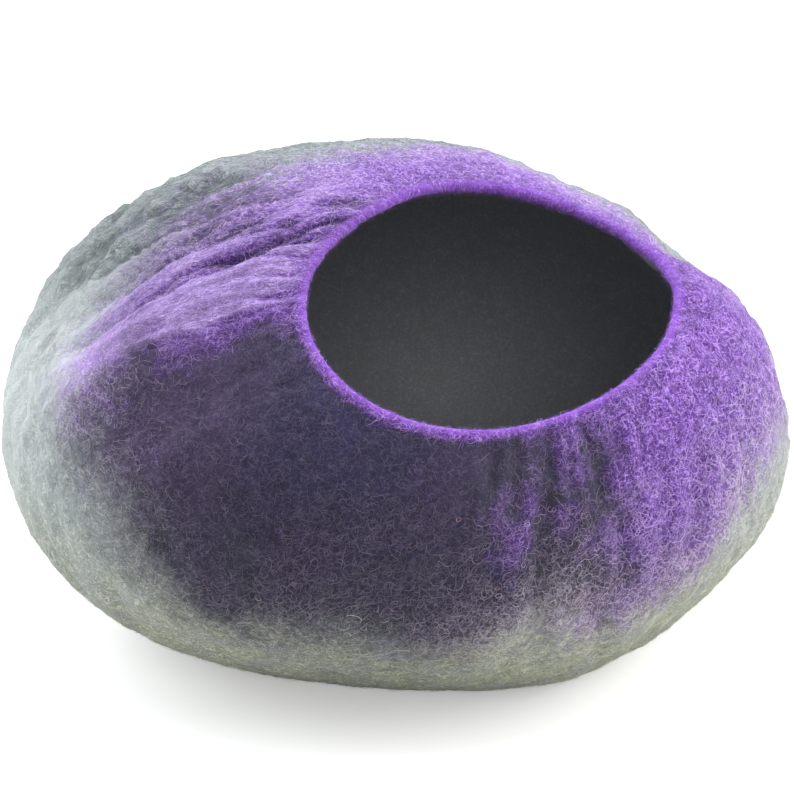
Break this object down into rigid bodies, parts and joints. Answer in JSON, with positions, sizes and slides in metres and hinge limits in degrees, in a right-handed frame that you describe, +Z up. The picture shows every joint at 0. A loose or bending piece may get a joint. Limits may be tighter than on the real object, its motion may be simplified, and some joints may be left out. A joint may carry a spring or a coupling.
{
  "type": "felt cat cave",
  "caption": "Hollow pebble-shaped pet cave of thick seamless wool felt, with a flattened base and an oval mouth facing forward and up.",
  "frame": {"origin": "on the flat base, under the middle of the part's bounding box", "axes": "+X to the right as seen from in front of the mouth, along the longest side; -Y the way the mouth faces; +Z up, the shortest side"},
  "size_m": [0.5034, 0.4556, 0.3099],
  "materials": {
    "felt": "matte wet-felted wool, violet round the mouth and grey towards the base and back"
  },
  "bodies": {
    "root": {"felt_shell": "felt"}
  },
  "joints": []
}
